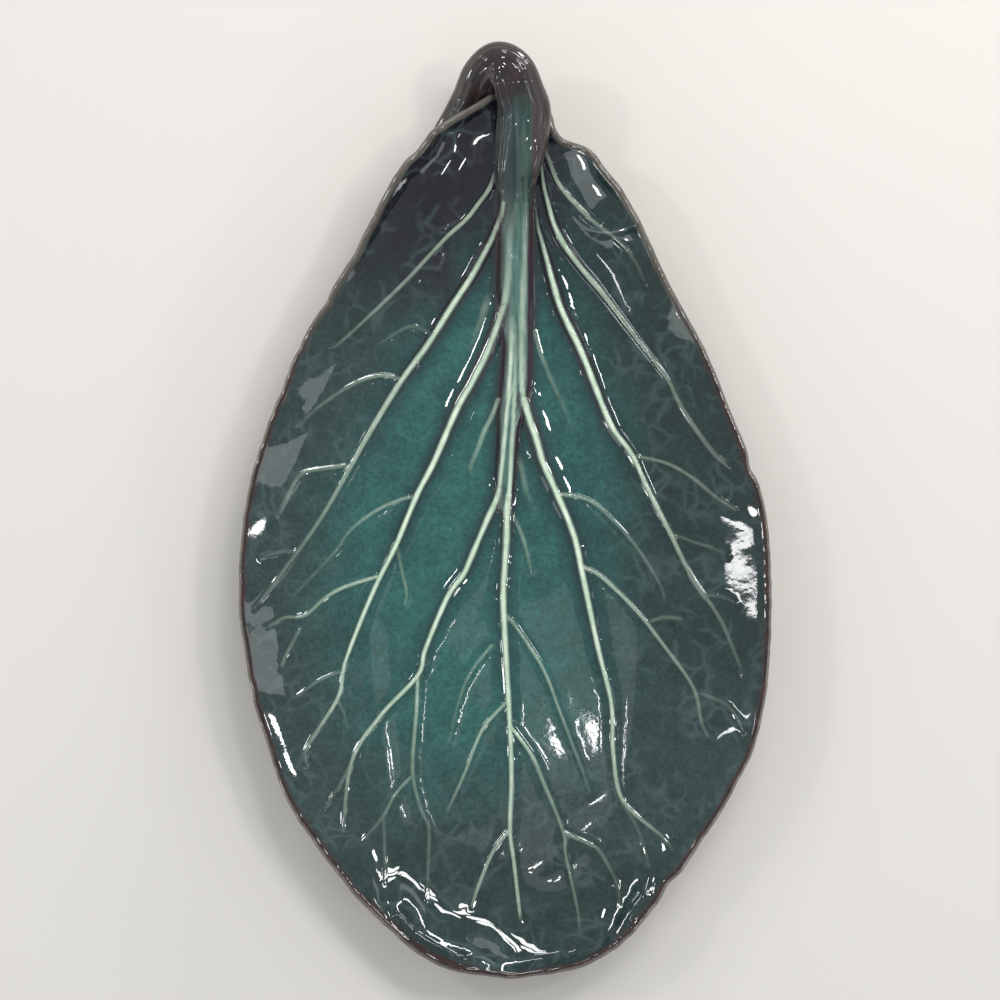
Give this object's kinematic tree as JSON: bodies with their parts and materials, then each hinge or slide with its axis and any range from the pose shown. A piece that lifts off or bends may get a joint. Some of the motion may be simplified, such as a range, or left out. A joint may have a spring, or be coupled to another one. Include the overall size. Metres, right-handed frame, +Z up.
{
  "type": "leaf shaped serving plate",
  "caption": "Shallow ceramic leaf dish with a pointed neck, raised ribs that branch from a fluted midrib, a stem curled over into a handle and an oval foot ring.",
  "frame": {"origin": "on the table, in the middle of the plate's length and width", "axes": "+Z up, +Y along the leaf from its tip to its stem, +X to the right of the leaf seen from above with the stem away from the viewer"},
  "size_m": [0.1609, 0.2807, 0.0372],
  "materials": {
    "dark_glaze": "glossy dark teal glaze, pooled between the ribs",
    "stem_glaze": "glossy grey-green glaze, brown where it runs thin",
    "pale_glaze": "glossy pale mint glaze, thin over the ribs",
    "bare_clay": "matt unglazed stoneware"
  },
  "bodies": {
    "root": {"leaf_blade": "dark_glaze", "midrib": "stem_glaze", "stem_handle": "stem_glaze", "centre_vein": "pale_glaze", "left_vein_1": "pale_glaze", "left_vein_2": "pale_glaze", "left_vein_3": "pale_glaze", "left_vein_4": "pale_glaze", "left_vein_5": "pale_glaze", "left_vein_6": "pale_glaze", "right_vein_1": "pale_glaze", "right_vein_2": "pale_glaze", "right_vein_3": "pale_glaze", "right_vein_4": "pale_glaze", "right_vein_5": "pale_glaze", "right_vein_6": "pale_glaze", "foot_ring": "bare_clay"}
  },
  "joints": []
}
